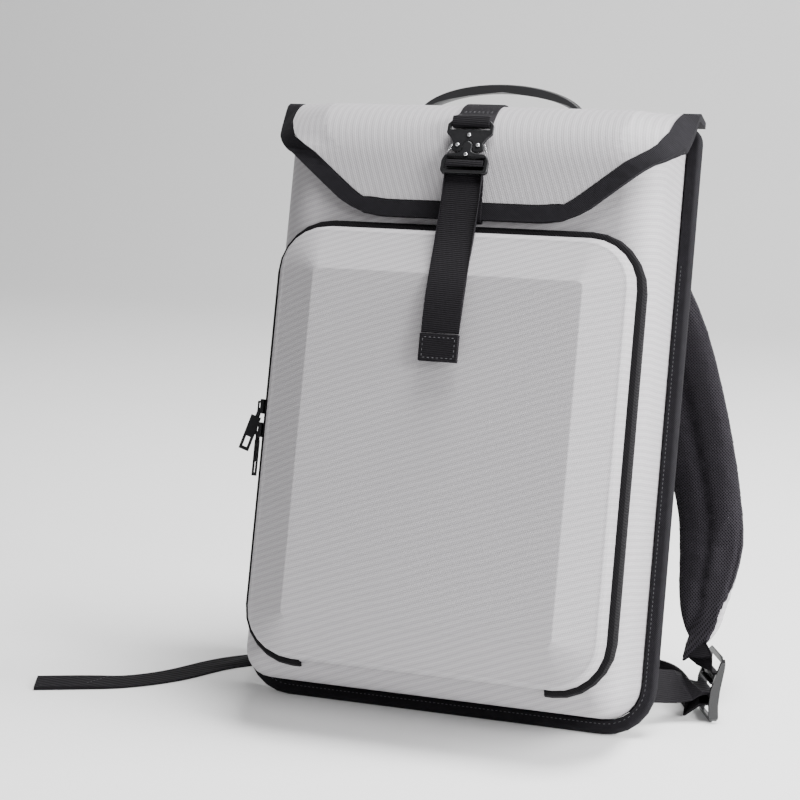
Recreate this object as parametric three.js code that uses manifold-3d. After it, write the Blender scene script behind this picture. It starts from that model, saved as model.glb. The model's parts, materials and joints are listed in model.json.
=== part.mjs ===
// Hard shell backpack, standing on a floor and leaning back on its shoulder straps.
// Millimetres, +Z up. The bag is drawn upright in its own frame and then leaned back:
// x runs to the viewer's right, y backwards from the middle of the rear rim, z up from the rim's bottom.
import * as THREE from "three";
import { mergeVertices } from "three/addons/utils/BufferGeometryUtils.js";
import Module from "manifold-3d";

const wasm = await Module();
wasm.setup();

// How the bag stands
const LEAN_DEG = 15;
const REST_FLAT = 0.7; // how far the floor presses the rim's cloth flat
const CLEAR = 0.32; // between pieces that touch
const FACET_STEPS = 6; // facets in a quarter turn

// Rear rim, bound in twill tape
const BAG_WIDTH = 322;
const BAG_HEIGHT = 454.7;
const RIM_BAND = 10.5;
const RIM_FRONT = 5;
const RIM_BACK = 7;
const RIM_EDGE = 4;
const RIM_LOW_CORNER = 38;
const RIM_TOP_CORNER = 13;

// Body shell, a moulded tray that is open at the back and has a mouth under the flap
const SHELL_WALL = 4;
const SHELL_DEPTH = 70;
const SHELL_DRAFT = 6;
const SHELL_LOW_DRAFT = 5;
const SHELL_EDGE = 30;
const CREST_RADIUS = 35;
const SHELL_TOP_CORNER_GROWTH = 14;
const MOUTH_WIDTH = 240;
const MOUTH_BACK = 9;
const MOUTH_LENGTH = 36;

// Padded back
const BACK_DEPTH = 14;
const BACK_EDGE = 7;

// Front pocket, a raised shell on a zipped gusset
const POCKET_WIDTH = 267;
const POCKET_LOW = 34.6;
const POCKET_DROP = 99.1; // from the bag's top down to the pocket's
const POCKET_CORNER = 36;
const POCKET_WALL = 3.5;
const POCKET_STAND = 5; // from the body's front to the pocket's rear edge
const POCKET_SIDE = 9; // depth of the pocket's side wall
const POCKET_ROUND = 6;
const POCKET_DRAFT = 2; // how much the side wall leans in towards the front
const PLATEAU_STEP = 12;
const PLATEAU_SIDE = 27.9; // from the bevel's foot to the plateau
const PLATEAU_TOP = 29;
const PLATEAU_LOW = 26.5;
const PLATEAU_CORNER = 4;
const ZIP_BULGE = 5.5;
const ZIP_WALL = 3;
const HINGE_BULGE = 1.5;
const HINGE_HALF = 92;
const HINGE_CORNER_LIFT = 12;

// Flap, a curved sheet with cut corners and a bound edge
const FLAP_THICK = 4;
const FLAP_RADIUS = 50;
const FLAP_GAP = 1.5;
const FLAP_REACH = 94; // from the bag's top down to the flap's lower edge
const FLAP_LOW_HALF = 80;
const FLAP_BAND = 12;
const FLAP_BAND_PROUD = 0.8;
const FLAP_CURL_START = 118;
const FLAP_CURL_RADIUS = 42;
const FLAP_CURL_RISE = 0.7; // how soon the curl grows over the crest
const FLAP_ROWS = 26;
const FLAP_COLUMNS = 12;
const FLAP_CORNER = 12;

// Side of the flap, as shares of its length and of the bag's half width
const FLAP_SIDE = [
  { along: 0, half: 1 },
  { along: 0.2, half: 1 },
  { along: 0.35, half: 0.985 },
  { along: 0.5, half: 0.97 },
  { along: 0.6, half: 0.935 },
  { along: 0.66, half: 0.9 },
];

// Closing strap and its buckle
const STRAP_X = 2.5;
const STRAP_WIDTH = 28;
const WEB_THICK = 1.5;
const BUCKLE_TILT_DEG = 14;
const BUCKLE_DROP = 44.2; // from the bag's top down to the joint of its two halves
const BUCKLE_STAND = 5.5; // from the flap to the buckle's rear face
const PLATE_THICK = 3;
const PLATE_EAR = 17.3;
const PLATE_WAIST = 11;
const PLATE_TOP = 27;
const BAR_WIDTH = 3;
const SLOT_HEIGHT = 4.2;
const FRAME_HALF = 17.6;
const FRAME_LOW = -15.5;
const FRAME_THICK = 4.2;
const SLIDE_FROM = 1; // from the buckle's rear face to the slide bar
const SLIDE_THICK = 2.2;
const SLIDE_HALF = 1.2;
const TONGUE_HALF = 3.7;
const TONGUE_TOP = 10.5;
const RIVET_RADIUS = 1.7;
const RIVET_HEAD = 1;
const LEVER_REACH = 15.2;
const TAIL_DROP = 197.7; // from the bag's top down to the strap's end
const TAIL_FOLD = 20;
const TAIL_FOLD_WIDER = 0.3; // at each side of the strap
const TAIL_STAND = 8; // from the pocket's plateau to the hanging strap

// Carry handle
const HANDLE_SPAN = 136;
const HANDLE_RISE = 35.3; // above the bag's top
const HANDLE_WIDTH = 20;
const HANDLE_THICK = 7;
const HANDLE_FOOT_DROP = 19.7;
const HANDLE_ARCH_DROP = 2.7;
const HANDLE_FOOT_WIDTH = 22;
const HANDLE_FOOT_THICK = 3;
const HANDLE_STEPS = 14;

// Shoulder straps and their webbing
const STRAP_TOP_X = 62;
const STRAP_TOP_DROP = 30.7; // from the bag's top down to a strap's sewn top
const STRAP_END_Z = 66;
const STRAP_BOW = 68; // from the padded back to the strap's furthest point
const PAD_WIDTH = 66;
const PAD_THICK = 12;
const PAD_GAP = 0.6; // from the padded back to a strap's sewn top
const TAB_WIDTH = 24;
const TAB_START = 3.5; // from the pad's sewn end to the tab
const WEB_WIDTH = 25;
const WEB_ROOT_Z = 37;
const WEB_ROOT_LENGTH = 18;
const LOCK_WIDTH = 34;
const LOCK_LENGTH = 52;
const LOCK_THICK = 4; // of a bar
const LOCK_BAR = 4;
const LOCK_CHAMFER = 4;
const LOCK_PLAY = 2; // between the webbing and the lock at each side
const LOCK_TIP = 6; // how far its top stands over from its foot
const WRAP_RADIUS = 4.1; // middle of webbing that goes round a bar

// Side rail of a lock: shares of its length, with how far its front and rear edges stand out
const LOCK_RAIL = [
  { up: 0, rear: -4.6, front: -0.4 },
  { up: 0.1, rear: -5, front: 2.2 },
  { up: 0.28, rear: -3.4, front: 4 },
  { up: 0.5, rear: -3, front: 4.4 },
  { up: 0.68, rear: -3.4, front: 2.6 },
  { up: 0.84, rear: -3.8, front: 0.8 },
  { up: 1, rear: -3.4, front: -1 },
];

// Both sides: where the strap's course ends, the lock's foot from there, and how far the lock
// is turned from the viewer's right towards the front
const SIDES = [
  { word: "left", side: -1, splay: 146, aside: 12, back: 16, turn: 25 },
  { word: "right", side: 1, splay: 182, aside: 11, back: 1, turn: 66 },
];

// Course of a padded strap, as shares of its fall, splay, bow, width and thickness,
// with the turn about its length and the slant of its sewn end in degrees
const STRAP_COURSE = [
  { fall: 0, splay: 0, bow: 0.01, width: 0.9, thick: 1, turn: 0, slant: 0 },
  { fall: 0.03, splay: 0.06, bow: 0.03, width: 0.93, thick: 1, turn: 0, slant: 0 },
  { fall: 0.07, splay: 0.14, bow: 0.1, width: 0.96, thick: 1, turn: 0, slant: 0 },
  { fall: 0.22, splay: 0.46, bow: 0.4, width: 1, thick: 1, turn: 0, slant: 0 },
  { fall: 0.35, splay: 0.66, bow: 0.63, width: 1, thick: 1, turn: 0, slant: 0 },
  { fall: 0.52, splay: 0.83, bow: 0.85, width: 0.96, thick: 1, turn: 3, slant: 0 },
  { fall: 0.68, splay: 0.96, bow: 0.98, width: 0.86, thick: 1, turn: 6, slant: 0 },
  { fall: 0.78, splay: 1, bow: 1, width: 0.8, thick: 1, turn: 10, slant: 0 },
  { fall: 0.9, splay: 1, bow: 0.85, width: 0.62, thick: 0.9, turn: 20, slant: 8 },
  { fall: 0.96, splay: 1.01, bow: 0.6, width: 0.48, thick: 0.7, turn: 30, slant: 25 },
  { fall: 1, splay: 0.975, bow: 0.36, width: 0.4, thick: 0.4, turn: 38, slant: 42 },
];

// Webbing between the bag and the lock: share of the way, and how far its width has turned over
const LOWER_WEB = [
  { way: 0.4, turned: 8 },
  { way: 0.65, turned: 22 },
  { way: 0.85, turned: 52 },
];

// Free webbing beyond a lock, on the floor: places from the bag's resting line, and
// how far the webbing stands on its edge; the last stretch is its folded end
const TAILS = {
  left: [
    { x: -168, y: 66, stand: 0 },
    { x: -178, y: 59, stand: 0 },
    { x: -191, y: 49, stand: 0 },
    { x: -205, y: 32, stand: 0 },
    { x: -218, y: 9, stand: 0 },
    { x: -235, y: -9, stand: 0 },
    { x: -255, y: -24, stand: 0 },
    { x: -271, y: -31, stand: 0 },
    { x: -316, y: -49, stand: 0 },
  ],
  right: [
    { x: 180, y: 62, stand: 0.5 },
    { x: 176, y: 69, stand: 1 },
    { x: 171, y: 81, stand: 1 },
    { x: 163, y: 96, stand: 1 },
    { x: 148, y: 108, stand: 1 },
    { x: 122, y: 114, stand: 0.6 },
    { x: 90, y: 115, stand: 0 },
    { x: 50, y: 115, stand: 0 },
    { x: 10, y: 115, stand: 0 },
    { x: -36, y: 115, stand: 0 },
  ],
};

// Zip sliders and pulls on the left of the pocket
const SLIDER_LENGTH = 11;
const SLIDER_WIDTH = 9;
const SLIDER_THICK = 3;
const SLIDER_Y = 3; // from the body's front back to the slider's middle
const BRIDGE_WIDTH = 2.4;
const BRIDGE_GAP = 2.4;
const BRIDGE_THICK = 1;
const BRIDGE_LENGTH = 8.4;
const BRIDGE_POST = 1.4;
const PIN_RADIUS = 0.7;
const ARM_GAP = 0.5;
const ARM_THICK = 1.2;
const PULL_EYE = 6; // from the hinge to the pull's plate
const PULL_LENGTH = 27;
const PULL_WIDTH = 8;
const PULL_HOLE_WIDTH = 4;
const PULL_HOLE_LENGTH = 8;
const PULL_HOLE_END = 2.6; // from the hole to the pull's end

// Sliders: height on the bag, tilt of the hanging pull, and if its plate faces the front
const SLIDERS = [
  { z: 218, tilt: 17, faceFront: true },
  { z: 200.5, tilt: 0, faceFront: false },
];

const material = (color, roughness, metalness = 0) =>
  new THREE.MeshStandardMaterial({ color, roughness, metalness });
const GREY_CLOTH = material(0xb4b3b6, 0.8);
const BLACK_TWILL = material(0x26262a, 0.85);
const BLACK_WEB = material(0x18181b, 0.9);
const BLACK_METAL = material(0x1c1c1f, 0.4, 0.6);
const STEEL = material(0xd8d8da, 0.25, 1);
const BLACK_GRIP = material(0x2a2a2c, 0.5);
const BLACK_GLOSS = material(0x3a3a3d, 0.25);

const lean = THREE.MathUtils.degToRad(LEAN_DEG);
const vec = (x, y, z) => new THREE.Vector3(x, y, z);
const degrees = THREE.MathUtils.degToRad;
const mix = THREE.MathUtils.lerp;

// Places that several pieces share
const rimHalf = BAG_WIDTH / 2;
const shellRearHalf = rimHalf - RIM_BAND - CLEAR;
const shellFrontHalf = shellRearHalf - SHELL_DRAFT;
const shellRearLow = RIM_BAND + CLEAR;
const shellFrontLow = shellRearLow + SHELL_LOW_DRAFT;
const shellTop = BAG_HEIGHT - RIM_BAND - CLEAR;
const bagTop = BAG_HEIGHT + CLEAR + FLAP_THICK;
const shellRoundStart = -(SHELL_DEPTH - SHELL_EDGE);
const crestStart = -(SHELL_DEPTH - CREST_RADIUS);
const pocketRear = -(SHELL_DEPTH + POCKET_STAND);
const pocketShoulder = pocketRear - POCKET_SIDE - POCKET_ROUND;
const plateauY = pocketShoulder - PLATEAU_STEP;
const pocketHalf = POCKET_WIDTH / 2;
const flapFront = SHELL_DEPTH + FLAP_GAP + FLAP_THICK;
const flapFlat = RIM_BACK + flapFront - FLAP_RADIUS;
const flapArc = (Math.PI / 2) * FLAP_RADIUS;
const flapLength = flapFlat + flapArc + FLAP_REACH - FLAP_RADIUS;
const backFace = BACK_DEPTH + CLEAR;
const pocketHigh = BAG_HEIGHT - POCKET_DROP;
const buckleZ = BAG_HEIGHT - BUCKLE_DROP;
const tailEndZ = BAG_HEIGHT - TAIL_DROP;
const handleFootZ = BAG_HEIGHT - HANDLE_FOOT_DROP;
const handleArchZ = BAG_HEIGHT - HANDLE_ARCH_DROP;

// The rim's lowest point once the bag leans, which sets how far the bag is lifted onto the floor
const rimMiddle = (RIM_BACK - RIM_FRONT) / 2;
const rimHalfDepth = (RIM_BACK + RIM_FRONT) / 2;
const rimReach = Math.hypot(rimHalfDepth * Math.sin(lean), RIM_EDGE * Math.cos(lean));
const rimLowest = RIM_EDGE * Math.cos(lean) - rimMiddle * Math.sin(lean) - rimReach;
const lift = -rimLowest - REST_FLAT;
const contact = rimMiddle + (rimHalfDepth ** 2 * Math.sin(lean)) / rimReach;
const contactZ = RIM_EDGE - (RIM_EDGE ** 2 * Math.cos(lean)) / rimReach;
const shift = -(contact * Math.cos(lean) + contactZ * Math.sin(lean));

// A point of the upright bag, leaned back and set on the floor
function leaned(p) {
  return p.clone().applyAxisAngle(vec(1, 0, 0), -lean).add(vec(0, shift, lift));
}

// Closed surface from positions and triangles, turned to face out
function closed(position, index) {
  const geometry = new THREE.BufferGeometry();
  geometry.setAttribute("position", new THREE.Float32BufferAttribute(position, 3));
  let volume = 0;
  const corner = (i) => new THREE.Vector3().fromArray(position, 3 * i);
  for (let i = 0; i < index.length; i += 3) {
    const [a, b, c] = [corner(index[i]), corner(index[i + 1]), corner(index[i + 2])];
    volume += a.dot(b.cross(c));
  }
  if (volume < 0) index.reverse();
  geometry.setIndex(index);
  return geometry;
}

// Skin over rings of equal count: capped at both ends, or joined last to first
function loft(rings, joined = false) {
  const count = rings[0].length;
  const position = rings.flat().flatMap((p) => p.toArray());
  const index = [];
  const spans = joined ? rings.length : rings.length - 1;
  for (let i = 0; i < spans; i++) {
    const a = i * count;
    const b = ((i + 1) % rings.length) * count;
    for (let j = 0; j < count; j++) {
      const k = (j + 1) % count;
      index.push(a + j, a + k, b + k, a + j, b + k, b + j);
    }
  }
  if (!joined) {
    const last = (rings.length - 1) * count;
    for (let j = 1; j < count - 1; j++) {
      index.push(0, j + 1, j, last, last + j, last + j + 1);
    }
  }
  return closed(position, index);
}

function toSolid(geometry) {
  const bare = new THREE.BufferGeometry();
  const plain = geometry.index ? geometry.toNonIndexed() : geometry;
  bare.setAttribute("position", plain.getAttribute("position"));
  const merged = mergeVertices(bare, 1e-3);
  return new wasm.Manifold(
    new wasm.Mesh({
      numProp: 3,
      vertProperties: merged.attributes.position.array,
      triVerts: new Uint32Array(merged.index.array),
    }),
  );
}

function toGeometry(solid) {
  const { vertProperties, triVerts } = solid.getMesh();
  const geometry = new THREE.BufferGeometry();
  geometry.setAttribute("position", new THREE.BufferAttribute(vertProperties, 3));
  geometry.setIndex(new THREE.BufferAttribute(triVerts, 1));
  return geometry;
}

const cut = (from, ...tools) =>
  toGeometry(tools.reduce((left, tool) => left.subtract(toSolid(tool)), toSolid(from)));
const join = (...pieces) =>
  toGeometry(pieces.map(toSolid).reduce((all, piece) => all.add(piece)));
const common = (a, b) => toGeometry(toSolid(a).intersect(toSolid(b)));

function block(low, high) {
  const size = high.clone().sub(low);
  const middle = low.clone().add(high).multiplyScalar(0.5);
  return new THREE.BoxGeometry(size.x, size.y, size.z).translate(...middle.toArray());
}

// Rounded rectangle in a plane of constant y
function ring({ half, low, high, lowCorner, topCorner, y }) {
  const corners = [
    { x: half - topCorner, z: high - topCorner, radius: topCorner, from: 0 },
    { x: topCorner - half, z: high - topCorner, radius: topCorner, from: 90 },
    { x: lowCorner - half, z: low + lowCorner, radius: lowCorner, from: 180 },
    { x: half - lowCorner, z: low + lowCorner, radius: lowCorner, from: 270 },
  ];
  return corners.flatMap(({ x, z, radius, from }) =>
    Array.from({ length: FACET_STEPS + 1 }, (_, i) => {
      const angle = degrees(from + (90 * i) / FACET_STEPS);
      return vec(x + radius * Math.cos(angle), y, z + radius * Math.sin(angle));
    }),
  );
}

// The rim's outline, moved in from its outer edge
function rimRing(inset, y) {
  return ring({
    half: rimHalf - inset,
    low: inset,
    high: BAG_HEIGHT - inset,
    lowCorner: RIM_LOW_CORNER - inset,
    topCorner: Math.max(RIM_TOP_CORNER - inset, 1),
    y,
  });
}

function rimBinding() {
  const rings = [rimRing(RIM_BAND, RIM_BACK), rimRing(RIM_BAND, -RIM_FRONT)];
  const steps = 2 * FACET_STEPS;
  for (let i = 0; i <= steps; i++) {
    const angle = degrees(-90 + (180 * i) / steps);
    const inset = RIM_EDGE * (1 - Math.cos(angle));
    rings.push(rimRing(inset, rimMiddle + rimHalfDepth * Math.sin(angle)));
  }
  const upright = loft(rings, true);
  const floor = block(vec(-BAG_WIDTH, -BAG_WIDTH, -BAG_WIDTH), vec(BAG_WIDTH, BAG_WIDTH, 0));
  floor.translate(0, -shift, -lift);
  floor.rotateX(lean);
  return cut(upright, floor);
}

// Section of the body shell at depth y, moved in by inset from its outer face
function shellRing(y, inset) {
  const edge = SHELL_EDGE - inset;
  const crest = CREST_RADIUS - inset;
  const draft = THREE.MathUtils.clamp(y / shellRoundStart, 0, 1);
  const reach = (radius, start) =>
    y < start ? radius - Math.sqrt(Math.max(radius ** 2 - (y - start) ** 2, 0)) : 0;
  const half = mix(shellRearHalf, shellFrontHalf, draft) - inset - reach(edge, shellRoundStart);
  const low = mix(shellRearLow, shellFrontLow, draft) + inset + reach(edge, shellRoundStart);
  const rearCorner = RIM_LOW_CORNER - RIM_BAND;
  const narrowed = shellRearHalf - half;
  return ring({
    half,
    low,
    high: shellTop - inset - reach(crest, crestStart),
    lowCorner: Math.max(rearCorner - narrowed, 2),
    topCorner: RIM_TOP_CORNER - RIM_BAND + 2 + SHELL_TOP_CORNER_GROWTH * (y / -SHELL_DEPTH),
    y,
  });
}

function shellRings(rear, inset) {
  const rings = [shellRing(rear, inset), shellRing(crestStart, inset)];
  for (let i = 0; i <= FACET_STEPS; i++) {
    const angle = degrees((90 * i) / FACET_STEPS);
    rings.push(shellRing(shellRoundStart - (SHELL_EDGE - inset) * Math.sin(angle), inset));
  }
  return rings;
}

const shellRear = 1; // the shell's rear edge, held inside the rim
const mouthFront = -(MOUTH_BACK + MOUTH_LENGTH);

function bodyShell() {
  const inner = shellRings(shellRear, SHELL_WALL).reverse();
  const tray = loft([...inner, ...shellRings(shellRear, 0)]);
  const mouth = block(
    vec(-MOUTH_WIDTH / 2, mouthFront, shellTop - CREST_RADIUS),
    vec(MOUTH_WIDTH / 2, -MOUTH_BACK, bagTop),
  );
  return cut(tray, mouth);
}

function backPanel() {
  const start = shellRear + CLEAR;
  const inset = RIM_BAND + CLEAR;
  const rings = [rimRing(inset, start)];
  for (let i = 0; i <= FACET_STEPS / 2; i++) {
    const angle = degrees((180 * i) / FACET_STEPS);
    const y = BACK_DEPTH - BACK_EDGE * (1 - Math.sin(angle));
    rings.push(rimRing(inset + BACK_EDGE * (1 - Math.cos(angle)), y));
  }
  return loft(rings);
}

// Outline of the pocket moved in from its side wall
function pocketRing(inset, y) {
  return ring({
    half: pocketHalf - inset,
    low: POCKET_LOW + inset,
    high: pocketHigh - inset,
    lowCorner: Math.max(POCKET_CORNER - inset, 1),
    topCorner: Math.max(POCKET_CORNER - inset, 1),
    y,
  });
}

function plateauRing(y, inset) {
  return ring({
    half: pocketHalf - POCKET_ROUND - PLATEAU_SIDE - inset,
    low: POCKET_LOW + POCKET_ROUND + PLATEAU_LOW + inset,
    high: pocketHigh - POCKET_ROUND - PLATEAU_TOP - inset,
    lowCorner: PLATEAU_CORNER,
    topCorner: PLATEAU_CORNER,
    y,
  });
}

function pocketShell() {
  const side = pocketRear - POCKET_SIDE;
  const rounded = (wall) =>
    Array.from({ length: FACET_STEPS / 2 + 1 }, (_, i) => {
      const angle = degrees((180 * i) / FACET_STEPS);
      const radius = POCKET_ROUND - wall;
      const inset = POCKET_DRAFT + wall + radius * (1 - Math.cos(angle));
      return pocketRing(inset, side - radius * Math.sin(angle));
    });
  const outer = [pocketRing(0, pocketRear), ...rounded(0), plateauRing(plateauY, 0)];
  const inner = [
    pocketRing(POCKET_WALL, pocketRear),
    ...rounded(POCKET_WALL),
    plateauRing(plateauY + POCKET_WALL, 1),
  ];
  return loft([...inner.reverse(), ...outer]);
}

// A band round the pocket between its rear edge and the body, bulging out by bulge
function gussetBand(bulge) {
  const front = pocketRear + CLEAR;
  const rear = shellRoundStart;
  return loft(
    [
      pocketRing(ZIP_WALL, front),
      pocketRing(0.5, front),
      pocketRing(-bulge * 0.7, front + 1.6),
      pocketRing(-bulge, front + POCKET_STAND),
      pocketRing(-bulge * 0.8, rear),
      pocketRing(ZIP_WALL - bulge * 0.5, rear),
    ],
    true,
  );
}

const hingeBox = (half, top) =>
  block(vec(-half, -2 * SHELL_DEPTH, 0), vec(half, 0, top));

function gussets() {
  const body = loft(shellRings(shellRear, -CLEAR));
  const top = POCKET_LOW + HINGE_CORNER_LIFT;
  const zip = cut(gussetBand(ZIP_BULGE), body, hingeBox(HINGE_HALF, top));
  const strip = cut(gussetBand(HINGE_BULGE), body);
  return { zip, hinge: common(strip, hingeBox(HINGE_HALF - CLEAR, top)) };
}

// A place on the flap: x across, s along it from the rear edge, depth below its outer face
function flapPoint(x, s, depth) {
  const angle = THREE.MathUtils.clamp((s - flapFlat) / FLAP_RADIUS, 0, Math.PI / 2);
  const flat = Math.min(s, flapFlat);
  const down = Math.max(s - flapFlat - flapArc, 0);
  const beyond = Math.min(Math.max(Math.abs(x) - FLAP_CURL_START, 0), 0.98 * FLAP_CURL_RADIUS);
  const curl = FLAP_CURL_RADIUS - Math.sqrt(FLAP_CURL_RADIUS ** 2 - beyond ** 2);
  const sunk = depth + curl * Math.sin(angle) ** FLAP_CURL_RISE;
  const radius = FLAP_RADIUS - sunk;
  return vec(
    x,
    RIM_BACK - flat - radius * Math.sin(angle),
    bagTop - FLAP_RADIUS - down + radius * Math.cos(angle),
  );
}

// Half width of the flap at s: its listed sides, a straight cut to the lower corner, and a round there
function flapHalf(s) {
  const share = s / flapLength;
  const after = FLAP_SIDE.findIndex((row) => row.along > share);
  const knee = FLAP_SIDE.at(-1);
  if (after > 0) {
    const [a, b] = [FLAP_SIDE[after - 1], FLAP_SIDE[after]];
    return rimHalf * mix(a.half, b.half, (share - a.along) / (b.along - a.along));
  }
  const cutShare = (share - knee.along) / (1 - knee.along);
  const straight = mix(rimHalf * knee.half, FLAP_LOW_HALF, cutShare);
  const nearEnd = Math.max(s - flapLength + FLAP_CORNER, 0);
  return straight - 0.35 * (nearEnd ** 2 / FLAP_CORNER);
}

// Width of the bound edge, measured across the flap where the side is slanted
function bandAcross(s) {
  const step = 1;
  const slope = (flapHalf(s - step) - flapHalf(s)) / step;
  return FLAP_BAND * Math.hypot(1, Math.max(slope, 0));
}

// Solid over the cells of a grid that a test keeps, between two depths
function gridSolid(rows, columns, keep, point) {
  const position = [];
  const index = [];
  const at = (i, j, face) => 2 * (i * (columns + 1) + j) + face;
  for (let i = 0; i <= rows; i++) {
    for (let j = 0; j <= columns; j++) {
      position.push(...point(i, j, 0).toArray(), ...point(i, j, 1).toArray());
    }
  }
  const kept = (i, j) => i >= 0 && j >= 0 && i < rows && j < columns && keep(i, j);
  const quad = (a, b, c, d) => index.push(a, b, c, a, c, d);
  const wall = ([i, j], [k, l]) => quad(at(i, j, 0), at(i, j, 1), at(k, l, 1), at(k, l, 0));
  for (let i = 0; i < rows; i++) {
    for (let j = 0; j < columns; j++) {
      if (!kept(i, j)) continue;
      quad(at(i, j, 0), at(i, j + 1, 0), at(i + 1, j + 1, 0), at(i + 1, j, 0));
      quad(at(i, j, 1), at(i + 1, j, 1), at(i + 1, j + 1, 1), at(i, j + 1, 1));
      if (!kept(i - 1, j)) wall([i, j], [i, j + 1]);
      if (!kept(i + 1, j)) wall([i + 1, j + 1], [i + 1, j]);
      if (!kept(i, j - 1)) wall([i + 1, j], [i, j]);
      if (!kept(i, j + 1)) wall([i, j + 1], [i + 1, j + 1]);
    }
  }
  return closed(position, index);
}

// The flap's grid: outer columns and the last row are the bound edge. Where it lies on the
// rim, nothing stands proud below it
function flapGrid(keep, margin, proud) {
  const rimDepth = RIM_BACK + RIM_FRONT;
  const bandRow = FLAP_ROWS - 1;
  const point = (i, j, face) => {
    const inner = flapLength - FLAP_BAND;
    const s = i > bandRow ? flapLength : Math.min((inner * i) / bandRow, inner - margin);
    const half = flapHalf(s);
    const panel = half - Math.min(bandAcross(s), half / 2) - margin;
    const middle = FLAP_COLUMNS / 2;
    const side = Math.sign(j - middle);
    const share = Math.abs(j - middle) / (middle - 1);
    const x = side * (share > 1 ? half : panel * share);
    const under = s > rimDepth ? proud : 0;
    return flapPoint(x, s, face ? FLAP_THICK + under : -proud);
  };
  return gridSolid(FLAP_ROWS, FLAP_COLUMNS, keep, point);
}

const inPanel = (i, j) => i < FLAP_ROWS - 1 && j > 0 && j < FLAP_COLUMNS - 1;

const flapPanel = () => flapGrid(inPanel, 2 * CLEAR, 0);

const flapBinding = () => flapGrid((i, j) => !inPanel(i, j), 0, FLAP_BAND_PROUD);

// Flat strip through stations of a middle point, a direction across and a direction through it
function strip(stations) {
  const rings = stations.map(({ at, across, through, width, thick }) => {
    const w = across.clone().multiplyScalar(width / 2);
    const t = through.clone().multiplyScalar(thick / 2);
    return [
      at.clone().add(w).add(t),
      at.clone().sub(w).add(t),
      at.clone().sub(w).sub(t),
      at.clone().add(w).sub(t),
    ];
  });
  return loft(rings);
}

// Webbing that runs through points with its width across a direction, or across one for each point
function webbing(points, width, thick, across) {
  const stations = points.map((at, i) => {
    const before = points[Math.max(i - 1, 0)];
    const after = points[Math.min(i + 1, points.length - 1)];
    const here = after.clone().sub(at).normalize();
    const there = at.clone().sub(before).normalize();
    const along = here.clone().add(there).normalize();
    const wide = Array.isArray(across) ? across[i] : across;
    const through = along.clone().cross(wide).normalize();
    const square = through.clone().cross(along);
    const inside = i > 0 && i < points.length - 1;
    const bend = inside ? Math.sqrt((1 + here.dot(there)) / 2) : 1;
    const full = Array.isArray(thick) ? thick[i] : thick;
    return { at, across: square, through, width, thick: full / Math.max(bend, 0.5) };
  });
  return strip(stations);
}

// Frame of the buckle: origin at the joint of its two halves, on its rear face
const buckleY = -(flapFront + BUCKLE_STAND);
const buckleTilt = degrees(BUCKLE_TILT_DEG);
function onBuckle(u, v, out) {
  return vec(
    STRAP_X + u,
    buckleY + v * Math.sin(buckleTilt) - out * Math.cos(buckleTilt),
    buckleZ + v * Math.cos(buckleTilt) + out * Math.sin(buckleTilt),
  );
}

// A flat piece of the buckle from half of its outline, with slots cut through
function bucklePlate(halfOutline, slots, from, thick) {
  const left = halfOutline.map(([u, v]) => [-u, v]).reverse();
  const all = [...halfOutline, ...left.filter(([u]) => u !== 0)];
  const flat = new THREE.Shape(all.map(([u, v]) => new THREE.Vector2(u, v)));
  for (const { half, low, high } of slots) {
    const corners = [
      [half, low],
      [half, high],
      [-half, high],
      [-half, low],
    ];
    flat.holes.push(new THREE.Path(corners.map(([u, v]) => new THREE.Vector2(u, v))));
  }
  const geometry = new THREE.ExtrudeGeometry(flat, { depth: thick, bevelEnabled: false });
  return placeOnBuckle(geometry.translate(0, 0, from));
}

function placeOnBuckle(geometry) {
  const matrix = new THREE.Matrix4().makeBasis(
    vec(1, 0, 0),
    vec(0, Math.sin(buckleTilt), Math.cos(buckleTilt)),
    vec(0, -Math.cos(buckleTilt), Math.sin(buckleTilt)),
  );
  return geometry.applyMatrix4(matrix.setPosition(onBuckle(0, 0, 0)));
}

const slotHalf = STRAP_WIDTH / 2 + 0.6;
const plateSlotLow = PLATE_TOP - BAR_WIDTH - SLOT_HEIGHT;
const frameSlotLow = FRAME_LOW + BAR_WIDTH;
const frameSlotHigh = -BAR_WIDTH;
const slideV = (frameSlotLow + frameSlotHigh) / 2;

function buckleUpper() {
  const notch = TONGUE_HALF + CLEAR;
  const half = [
    [0, TONGUE_TOP + CLEAR],
    [notch * 0.7, TONGUE_TOP - 0.8],
    [notch, TONGUE_TOP - 3],
    [notch, 2],
    [PLATE_WAIST - 2, 2],
    [PLATE_WAIST + 1, 4],
    [PLATE_WAIST, 8.5],
    [PLATE_WAIST + 2.5, 13],
    [PLATE_EAR, 17],
    [PLATE_EAR, PLATE_TOP - 3],
    [slotHalf, PLATE_TOP],
    [0, PLATE_TOP],
  ];
  const slot = { half: slotHalf, low: plateSlotLow, high: PLATE_TOP - BAR_WIDTH };
  return bucklePlate(half, [slot], 0, PLATE_THICK);
}

function buckleFrame() {
  const half = [
    [0, FRAME_LOW],
    [FRAME_HALF - 1.6, FRAME_LOW],
    [FRAME_HALF, FRAME_LOW + 1.6],
    [FRAME_HALF, -6],
    [FRAME_HALF - 1.6, -1.5],
    [FRAME_HALF - 4, 0],
    [TONGUE_HALF + 3, 0.6],
    [TONGUE_HALF, 2],
    [TONGUE_HALF, TONGUE_TOP - 3.4],
    [TONGUE_HALF * 0.7, TONGUE_TOP - 1.2],
    [0, TONGUE_TOP],
  ];
  const slot = { half: slotHalf, low: frameSlotLow, high: frameSlotHigh };
  return bucklePlate(half, [slot], 0, FRAME_THICK);
}

function buckleSlide() {
  const half = [
    [0, slideV - SLIDE_HALF],
    [slotHalf - CLEAR, slideV - SLIDE_HALF],
    [slotHalf - CLEAR, slideV + SLIDE_HALF],
    [0, slideV + SLIDE_HALF],
  ];
  return bucklePlate(half, [], SLIDE_FROM, SLIDE_THICK);
}

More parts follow.
